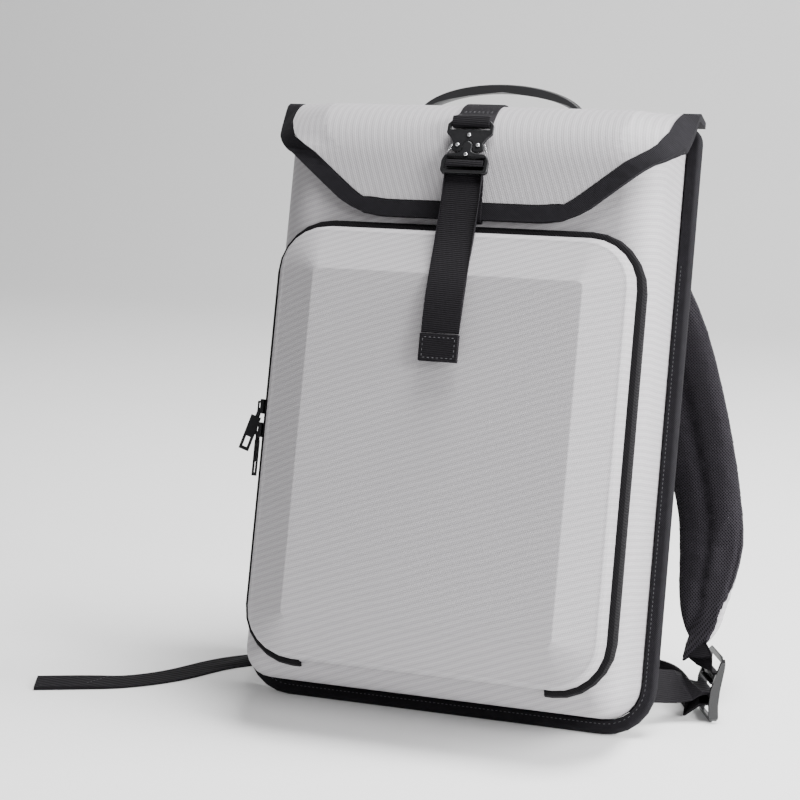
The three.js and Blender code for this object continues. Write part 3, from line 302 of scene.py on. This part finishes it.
# The record's material slots and their materials, and what each node has of the record
LOOKS = {
    "shell_cloth": shell_cloth(),
    "flap_cloth": shell_cloth("flap_cloth", SILVER, FLAP_GRAIN),
    "hinge_cloth": shell_cloth("hinge_cloth", HINGE_GREY),
    "binding": binding_tape(),
    "webbing": webbing(),
    "mesh": open_mesh(),
    "zip": zip_tape(),
    "black_metal": coated_metal(),
    "steel": bright_steel(),
    "handle_grip": grip(),
    "black_plastic": gloss_moulding(),
}
THREAD = sewing_thread()
SLOTS = {row["node"]: row["material_slot"] for row in frame["record"]["subparts"]}
BODY_OF = {
    node: body
    for body, nodes in frame["record"]["behaviour"]["bodies"].items()
    for node in nodes
}

# How each piece's edges are softened: width in millimetres, steps, and the least angle
SOFT_EDGES = {
    "body_shell": (1.2, 3, 40),
    "back_panel": (1.5, 3, 40),
    "rim_binding": (0.6, 2, 40),
    "pocket_shell": (3.0, 4, 17),
    "pocket_zip": (0.5, 2, 40),
    "pocket_hinge": (0.5, 2, 40),
    "flap": (0.4, 2, 50),
    "flap_binding": (0.8, 3, 50),
    "closing_strap_upper": (0.4, 2, 50),
    "closing_strap_anchor": (0.4, 2, 50),
    "closing_strap_lower": (0.4, 2, 50),
    "closing_strap_end": (0.8, 3, 50),
    "buckle_plate": (0.5, 3, 40),
    "buckle_frame": (0.9, 3, 40),
    "buckle_slide": (0.6, 3, 40),
    "carry_handle": (1.2, 3, 50),
    "zip_slider_1": (0.6, 3, 40),
    "zip_slider_2": (0.6, 3, 40),
    "zip_pull_1": (0.35, 2, 40),
    "zip_pull_2": (0.35, 2, 40),
    "strap_tab_left": (0.4, 2, 50),
    "strap_tab_right": (0.4, 2, 50),
    "strap_webbing_left": (0.4, 2, 50),
    "strap_webbing_right": (0.4, 2, 50),
    "ladder_lock_left": (1.2, 4, 40),
    "ladder_lock_right": (1.2, 4, 40),
}
PLAIN_EDGE = (0.3, 2, 40)

# Pieces that bend along their length, and so are divided into smooth curves
BANDS = (
    "closing_strap_upper",
    "closing_strap_anchor",
    "closing_strap_lower",
    "strap_tab_left",
    "strap_tab_right",
    "strap_webbing_left",
    "strap_webbing_right",
    "carry_handle",
)
FLAP_PIECES = ("flap", "flap_binding")
PADS = ("shoulder_strap_left", "shoulder_strap_right")

# Meshes: what counts as one place, as flat, as a pair of triangles and as a sharp edge
MERGE_WITHIN = 0.01 * MM
FLAT_WITHIN = math.radians(0.5)
PAIR_BEND = math.radians(40)
PAIR_SHAPE = math.radians(180)
SHARP_FROM = math.radians(38)
NEVER_SHARP = math.radians(180)
DIVISIONS = 2
FLAT_WEIGHT = 80

# Sewn channels down the padded back, in millimetres of the upright bag
CHANNELS = (-52, 52)
CHANNEL_REACH = 12
CHANNEL_STEP = 2
CHANNEL_DEPTH = 3
CHANNEL_HALF = 4.5
BACK_FROM = 8

# Low corners of the flap, in millimetres of the upright bag
KNEE_AT = (76, 365)
KNEE_INWARD = Vector((-0.335, 0.942))
KNEE_ROUND = 9
KNEE_MOVE = 2.2
KNEE_FADE = 40
KNEE_GRID = 4
KNEE_COLUMNS = range(44, 120, KNEE_GRID)
KNEE_ROWS = range(356, 404, KNEE_GRID)


def slice_mesh(piece, planes):
    """Cuts new edges into a piece where planes, each a place and a normal, cross it."""
    mesh = bmesh.new()
    mesh.from_mesh(piece.data)
    for place, normal in planes:
        everything = [*mesh.verts, *mesh.edges, *mesh.faces]
        bmesh.ops.bisect_plane(mesh, geom=everything, plane_co=place, plane_no=normal)
    bmesh.ops.triangulate(mesh, faces=[f for f in mesh.faces if len(f.verts) > 4])
    mesh.to_mesh(piece.data)
    mesh.free()


def slice_knees(piece):
    """Cuts a grid into the flap around its low corners."""
    columns = [(placed(side * x, 0, 0), ACROSS) for side in (-1, 1) for x in KNEE_COLUMNS]
    up = PLACE.to_3x3() @ UP
    slice_mesh(piece, columns + [(placed(0, 0, z), up) for z in KNEE_ROWS])


def round_knees(piece):
    """Moves the flap's low corners inwards, so that they turn in a curve."""
    upright = PLACE.inverted()
    for vertex in piece.data.vertices:
        at = upright @ vertex.co / MM
        side = 1 if at.x > 0 else -1
        out = Vector((abs(at.x) - KNEE_AT[0], at.z - KNEE_AT[1]))
        inward = out.dot(KNEE_INWARD)
        along = out.cross(KNEE_INWARD)
        share = math.exp(-((along / KNEE_ROUND) ** 2)) * max(1 - max(inward, 0) / KNEE_FADE, 0)
        move = KNEE_INWARD * (KNEE_MOVE * share)
        vertex.co = PLACE @ ((at + Vector((side * move.x, 0, move.y))) * MM)


def apply_modifiers(piece):
    """Leaves the piece with the mesh that its modifiers make."""
    graph = bpy.context.evaluated_depsgraph_get()
    mesh = bpy.data.meshes.new_from_object(piece.evaluated_get(graph))
    piece.modifiers.clear()
    piece.data = mesh


def divide(piece, kind):
    """Adds a modifier that divides each face of a piece."""
    made = piece.modifiers.new("divide", "SUBSURF")
    made.subdivision_type = kind
    made.levels = DIVISIONS
    made.render_levels = DIVISIONS


def stand_for(piece, node):
    """Puts the piece in a node's place, with its body, slot and material."""
    piece.data.materials.clear()
    piece.data.materials.append(LOOKS[SLOTS[node]])
    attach(piece, BODY_OF[node])
    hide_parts(node)


def copy_of(node, name):
    """A new piece with a node's shape, its flat faces whole."""
    mesh = frame["nodes"][node].data.copy()
    mesh.name = name
    piece = bpy.data.objects.new(name, mesh)
    bpy.context.scene.collection.objects.link(piece)
    merged = bmesh.new()
    merged.from_mesh(mesh)
    bmesh.ops.remove_doubles(merged, verts=merged.verts, dist=MERGE_WITHIN)
    bmesh.ops.dissolve_limit(
        merged, angle_limit=FLAT_WITHIN, verts=merged.verts, edges=merged.edges
    )
    merged.to_mesh(mesh)
    merged.free()
    return piece


def smooth_by_angle(piece, angle=SHARP_FROM):
    """Shades the piece smooth, apart from edges sharper than an angle."""
    mesh = piece.data
    mesh.polygons.foreach_set("use_smooth", [True] * len(mesh.polygons))
    mesh.set_sharp_from_angle(angle=angle)


def into_quads(piece):
    """Pairs the triangles along a band, so that it curves smoothly when it is divided."""
    mesh = bmesh.new()
    mesh.from_mesh(piece.data)
    bmesh.ops.join_triangles(
        mesh,
        faces=[f for f in mesh.faces if len(f.verts) == 3],
        angle_face_threshold=PAIR_BEND,
        angle_shape_threshold=PAIR_SHAPE,
    )
    mesh.to_mesh(piece.data)
    mesh.free()


def quilt_back(piece):
    """Sinks sewn channels into the padded back."""
    cells = [
        (placed(x, 0, 0), ACROSS)
        for seam in CHANNELS
        for x in range(seam - CHANNEL_REACH, seam + CHANNEL_REACH + 1, CHANNEL_STEP)
    ]
    slice_mesh(piece, cells)
    upright = PLACE.inverted()
    for vertex in piece.data.vertices:
        at = upright @ vertex.co / MM
        if at.y > BACK_FROM:
            nearest = min(abs(at.x - seam) for seam in CHANNELS)
            at.y -= CHANNEL_DEPTH * math.exp(-((nearest / CHANNEL_HALF) ** 2))
            vertex.co = PLACE @ (at * MM)


def soften(node):
    """A copy of a node with rounded edges and smooth curves."""
    width, steps, angle = SOFT_EDGES.get(node, PLAIN_EDGE)
    piece = copy_of(node, f"{node}_soft")
    if node in BANDS:
        into_quads(piece)
    if node in FLAP_PIECES:
        slice_knees(piece)
    bevel = piece.modifiers.new("edges", "BEVEL")
    bevel.width = width * MM
    bevel.segments = steps
    bevel.limit_method = "ANGLE"
    bevel.angle_limit = math.radians(angle)
    bevel.use_clamp_overlap = True
    bevel.miter_outer = "MITER_ARC"
    if node in BANDS:
        divide(piece, "CATMULL_CLARK")
    apply_modifiers(piece)
    if node in FLAP_PIECES:
        round_knees(piece)
    if node == "back_panel":
        quilt_back(piece)
    smooth_by_angle(piece)
    flat = piece.modifiers.new("flat faces", "WEIGHTED_NORMAL")
    flat.keep_sharp = True
    flat.weight = FLAT_WEIGHT
    apply_modifiers(piece)
    stand_for(piece, node)
    return piece


# Shoulder pads: the cloth that blows them up, and the clean mesh that takes its moves
PAD_SHRINK = 0.5 * MM
PAD_VOXEL = 4 * MM
PAD_PRESSURE = 4
PAD_FRAMES = 20
PAD_MOVE = 2.5 * MM
PAD_ROW = 6 * MM
PAD_NEIGHBOURS = 16
PAD_SMOOTH = 0.5
PAD_SMOOTH_STEPS = 6

# Crease and edge seam of a pad, as shares of its half width, and where its outer cloth starts
CREASE_DEPTH = 2.6 * MM
CREASE_HALF = 0.14
SEAM_AT = 0.9
SEAM_HALF = 0.05
SEAM_DEPTH = 0.8 * MM
OUTER_FROM = 2.2 * MM

# Slices of a pad: their step in height, the steps that each point counts in, and least half
SLICE = 6 * MM
SLICE_SPREAD = (-2, -1, 0, 1, 2)
LEAST_HALF = 5 * MM


def slices(points):
    """Middle, width direction and half width of a strap at steps of height."""
    rows = {}
    for p in points:
        for step in SLICE_SPREAD:
            rows.setdefault(round(p.z / SLICE) + step, []).append(p.xy)
    table = {}
    for key, row in rows.items():
        middle = sum(row, Vector((0, 0))) / len(row)
        xx = sum((p.x - middle.x) ** 2 for p in row)
        yy = sum((p.y - middle.y) ** 2 for p in row)
        xy = sum((p.x - middle.x) * (p.y - middle.y) for p in row)
        angle = math.atan2(2 * xy, xx - yy) / 2
        wide = Vector((math.cos(angle), math.sin(angle)))
        if wide.x < 0:
            wide = -wide
        places = [(p - middle).dot(wide) for p in row]
        half = (max(places) - min(places)) / 2
        middle = middle + wide * (max(places) + min(places)) / 2
        table[key] = (middle, wide, max(half, LEAST_HALF))
    return table


def slice_at(table, z):
    """The slice at a height, mixed from the two nearest ones."""
    low = max(min(math.floor(z / SLICE), max(table)), min(table))
    high = min(low + 1, max(table))
    share = min(max(z / SLICE - low, 0), 1)
    a, b = table[low], table[high]
    return tuple(u + (v - u) * share for u, v in zip(a, b))


def bulge(node):
    """How a slightly smaller copy of a node moves as a cloth under pressure, by place."""
    trial = copy_of(node, f"{node}_trial")
    shrink = trial.modifiers.new("shrink", "DISPLACE")
    shrink.strength = -PAD_SHRINK
    shrink.mid_level = 0
    remesh = trial.modifiers.new("remesh", "REMESH")
    remesh.mode = "VOXEL"
    remesh.voxel_size = PAD_VOXEL
    apply_modifiers(trial)
    start = [v.co.copy() for v in trial.data.vertices]
    cloth = trial.modifiers.new("cloth", "CLOTH")
    cloth.settings.use_pressure = True
    cloth.settings.uniform_pressure_force = PAD_PRESSURE
    cloth.settings.effector_weights.gravity = 0
    cloth.point_cache.frame_start = 1
    cloth.point_cache.frame_end = PAD_FRAMES
    for step in range(1, PAD_FRAMES + 1):
        bpy.context.scene.frame_set(step)
    apply_modifiers(trial)
    bpy.context.scene.frame_set(1)
    moves = [v.co - was for v, was in zip(trial.data.vertices, start)]
    near = KDTree(len(start))
    for i, was in enumerate(start):
        near.insert(was, i)
    near.balance()
    bpy.data.objects.remove(trial)
    return near, [m if m.length < PAD_MOVE else m.normalized() * PAD_MOVE for m in moves]


def blow_up(piece, node):
    """Moves each vertex of a piece as the cloth near it moves."""
    near, moves = bulge(node)
    for vertex in piece.data.vertices:
        found = near.find_n(vertex.co, PAD_NEIGHBOURS)
        vertex.co += sum((moves[i] for _, i, _ in found), Vector()) / len(found)


def sew_pad(piece, table):
    """Sinks the crease along the pad's inner face and the seam at its edges."""
    normals = [v.normal.copy() for v in piece.data.vertices]
    for vertex, normal in zip(piece.data.vertices, normals):
        middle, wide, half = slice_at(table, vertex.co.z)
        across = (vertex.co.xy - middle).dot(wide) / half
        inner = normal.xy.dot(Vector((wide.y, -wide.x))) > 0
        crease = CREASE_DEPTH * math.exp(-((across / CREASE_HALF) ** 2)) if inner else 0
        seam = SEAM_DEPTH * math.exp(-(((abs(across) - SEAM_AT) / SEAM_HALF) ** 2))
        vertex.co -= normal * (crease + seam)


def cover_outside(piece, table):
    """Gives the pad's outer face the shell's cloth."""
    outer_slot = len(piece.data.materials)
    piece.data.materials.append(LOOKS["shell_cloth"])
    for face in piece.data.polygons:
        middle, wide, _ = slice_at(table, face.center.z)
        outward = Vector((-wide.y, wide.x))
        if (face.center.xy - middle).dot(outward) > OUTER_FROM:
            face.material_index = outer_slot


def padded_strap(node):
    """A padded strap blown up as cloth, with a crease along its middle and a seam at its edges."""
    piece = copy_of(node, f"{node}_pad")
    low, high = (corner[2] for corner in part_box(node))
    rows = int((high - low) / PAD_ROW)
    cuts = [Vector((0, 0, low + (high - low) * (i + 0.5) / rows)) for i in range(rows)]
    slice_mesh(piece, [(cut, UP) for cut in cuts])
    into_quads(piece)
    divide(piece, "SIMPLE")
    soft = piece.modifiers.new("soft", "SMOOTH")
    soft.factor = PAD_SMOOTH
    soft.iterations = PAD_SMOOTH_STEPS
    apply_modifiers(piece)
    blow_up(piece, node)
    piece.data.update()
    table = slices([v.co for v in piece.data.vertices])
    sew_pad(piece, table)
    smooth_by_angle(piece, NEVER_SHARP)
    stand_for(piece, node)
    cover_outside(piece, table)
    return piece


# Ends of the tabs that are sewn into the pads: how near they lie, and how they sink in
TUCK_REACH = 8 * MM
TUCK_DEPTH = 1.5 * MM
TUCK_HURRY = 2.5


def surface_of(piece):
    """A tree that finds the place on a piece nearest to another."""
    return BVHTree.FromPolygons(
        [v.co for v in piece.data.vertices], [f.vertices for f in piece.data.polygons]
    )


def tuck(piece, into):
    """Moves the end of a piece that lies beside a pad into the pad."""
    tree = surface_of(into)
    for vertex in piece.data.vertices:
        at, normal, _, distance = tree.find_nearest(vertex.co)
        if distance < TUCK_REACH:
            share = 1 - distance / TUCK_REACH
            vertex.co = vertex.co.lerp(at - normal * TUCK_DEPTH, min(TUCK_HURRY * share, 1))


# Stitches: length, pitch and thickness
STITCH_LONG = 2.2 * MM
STITCH_PITCH = 3.2 * MM
STITCH_THICK = 0.6 * MM

# Sewn row along the rim's front face, in millimetres of the upright bag; its turn in degrees
RIM_ROW_Y = -6
RIM_ROW_HALF = 153
RIM_ROW_LOW = 8
RIM_ROW_HIGH = 350
RIM_ROW_TURN = 30
RIM_ROW_ANGLES = range(180, 271, 15)

# Sewn box on the hanging strap's end, and rows across the upper strap where it is double
STRAP_ROW_X = (-9.2, 14.2)
END_BOX_Y = -113
END_BOX_Z = (259.5, 274)
UPPER_ROW_Y = -64
UPPER_ROWS_Z = (452, 454.5)

# Rows across the folded ends of the webbing on the floor, in metres where they lie
FLOOR_ROWS = {
    "left": ((-0.268, -0.022, 0.004), (-0.277, -0.043, 0.004)),
    "right": ((0.006, 0.102, 0.004), (0.006, 0.122, 0.004)),
}


def stitch_line(mesh, cloth, points):
    """Adds a row of short raised stitches that follow a cloth's nearest surface."""
    for a, b in zip(points, points[1:]):
        count = max(int((b - a).length / STITCH_PITCH), 1)
        for i in range(count):
            middle, normal, _, _ = cloth.find_nearest(a.lerp(b, (i + 0.5) / count))
            across = normal.cross(b - a).normalized()
            turn = Matrix((across.cross(normal), across, normal)).transposed().to_4x4()
            size = Matrix.Diagonal((STITCH_LONG / 2, STITCH_THICK / 2, STITCH_THICK / 2, 1))
            bmesh.ops.create_icosphere(
                mesh, subdivisions=1, radius=1, matrix=Matrix.Translation(middle) @ turn @ size
            )


def stitches(name, cloth, lines):
    """One piece that holds the rows of stitches on a cloth."""
    tree = surface_of(cloth)
    mesh = bmesh.new()
    for line in lines:
        stitch_line(mesh, tree, line)
    data = bpy.data.meshes.new(name)
    mesh.to_mesh(data)
    mesh.free()
    data.polygons.foreach_set("use_smooth", [True] * len(data.polygons))
    piece = bpy.data.objects.new(name, data)
    bpy.context.scene.collection.objects.link(piece)
    data.materials.append(THREAD)
    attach(piece, "bag")


def rim_row():
    """The rim's sewn row: down one side, round two corners and up the other side."""
    row = [(-RIM_ROW_HALF, RIM_ROW_HIGH)]
    for degrees in RIM_ROW_ANGLES:
        angle = math.radians(degrees)
        row.append(
            (
                RIM_ROW_TURN - RIM_ROW_HALF + RIM_ROW_TURN * math.cos(angle),
                RIM_ROW_LOW + RIM_ROW_TURN + RIM_ROW_TURN * math.sin(angle),
            )
        )
    row += [(-x, z) for x, z in reversed(row)]
    return [placed(x, RIM_ROW_Y, z) for x, z in row]


def end_box():
    """The closed row on the hanging strap's end."""
    left, right = STRAP_ROW_X
    low, high = END_BOX_Z
    corners = ((left, low), (right, low), (right, high), (left, high), (left, low))
    return [placed(x, END_BOX_Y, z) for x, z in corners]


def sew(dressed):
    """All rows of stitches, each on its dressed piece."""
    stitches("rim_stitches", dressed["rim_binding"], [rim_row()])
    stitches("strap_end_stitches", dressed["closing_strap_end"], [end_box()])
    upper_rows = [[placed(x, UPPER_ROW_Y, z) for x in STRAP_ROW_X] for z in UPPER_ROWS_Z]
    stitches("upper_strap_stitches", dressed["closing_strap_upper"], upper_rows)
    for side, ends in FLOOR_ROWS.items():
        row = [Vector(end) for end in ends]
        cloth = dressed[f"strap_webbing_{side}"]
        stitches(f"strap_webbing_{side}_stitches", cloth, [row])


def camera():
    """The photograph's camera."""
    data = bpy.data.cameras.new("camera")
    data.lens = CAMERA_LENS
    data.sensor_width = SENSOR
    right = Vector(CAMERA_RIGHT)
    up = Vector(CAMERA_UP)
    turn = Matrix((right, up, right.cross(up))).transposed().to_4x4()
    seen = bpy.data.objects.new("camera", data)
    seen.matrix_world = PLACE @ Matrix.Translation(Vector(CAMERA_AT) * MM) @ turn
    bpy.context.scene.collection.objects.link(seen)
    bpy.context.scene.camera = seen


# Soft lights: name, place, size and power in watts
LIGHTS = (
    ("key", (2.2, -1.1, 1.1), 0.9, 66),
    ("side", (2.3, 0.2, 1.0), 1.2, 120),
    ("top", (0.4, 0.1, 2.2), 1.0, 100),
)
LOOK_AT = Vector((0, 0, 0.22))
WORLD_STRENGTH = 0.24

# Paper sweep: half width, wall's distance, radius of the curve, height and steps
SWEEP_HALF = 4.5
SWEEP_WALL = 3.2
SWEEP_CURVE = 1.2
SWEEP_HEIGHT = 4
SWEEP_STEPS = 16


def light(name, place, size, power):
    """A square lamp that faces the bag."""
    data = bpy.data.lights.new(name, "AREA")
    data.energy = power
    data.size = size
    lamp = bpy.data.objects.new(name, data)
    lamp.location = place
    lamp.rotation_euler = (LOOK_AT - Vector(place)).to_track_quat("-Z", "Y").to_euler()
    bpy.context.scene.collection.objects.link(lamp)


def sweep():
    """Pale floor that curves up into a wall behind the bag."""
    profile = [(-SWEEP_HALF, 0), (SWEEP_WALL - SWEEP_CURVE, 0)]
    for i in range(1, SWEEP_STEPS + 1):
        angle = math.pi / 2 * i / SWEEP_STEPS
        profile.append(
            (
                SWEEP_WALL - SWEEP_CURVE * (1 - math.sin(angle)),
                SWEEP_CURVE * (1 - math.cos(angle)),
            )
        )
    profile.append((SWEEP_WALL, SWEEP_HEIGHT))
    mesh = bmesh.new()
    rows = [
        [mesh.verts.new((x, y, z)) for x in (-SWEEP_HALF, SWEEP_HALF)] for y, z in profile
    ]
    for (a, b), (c, d) in zip(rows, rows[1:]):
        mesh.faces.new((a, b, d, c)).smooth = True
    data = bpy.data.meshes.new("sweep")
    mesh.to_mesh(data)
    mesh.free()
    paper = bpy.data.objects.new("sweep", data)
    data.materials.append(sweep_paper())
    bpy.context.scene.collection.objects.link(paper)


def surroundings():
    """Even white light from all around."""
    world = bpy.data.worlds.new("studio")
    bpy.context.scene.world = world
    world.use_nodes = True
    background = world.node_tree.nodes["Background"]
    background.inputs["Color"].default_value = (1, 1, 1, 1)
    background.inputs["Strength"].default_value = WORLD_STRENGTH


dressed = {
    node: padded_strap(node) if node in PADS else soften(node) for node in frame["nodes"]
}
for side in ("left", "right"):
    tuck(dressed[f"strap_tab_{side}"], dressed[f"shoulder_strap_{side}"])
sew(dressed)
camera()
for row in LIGHTS:
    light(*row)
sweep()
surroundings()
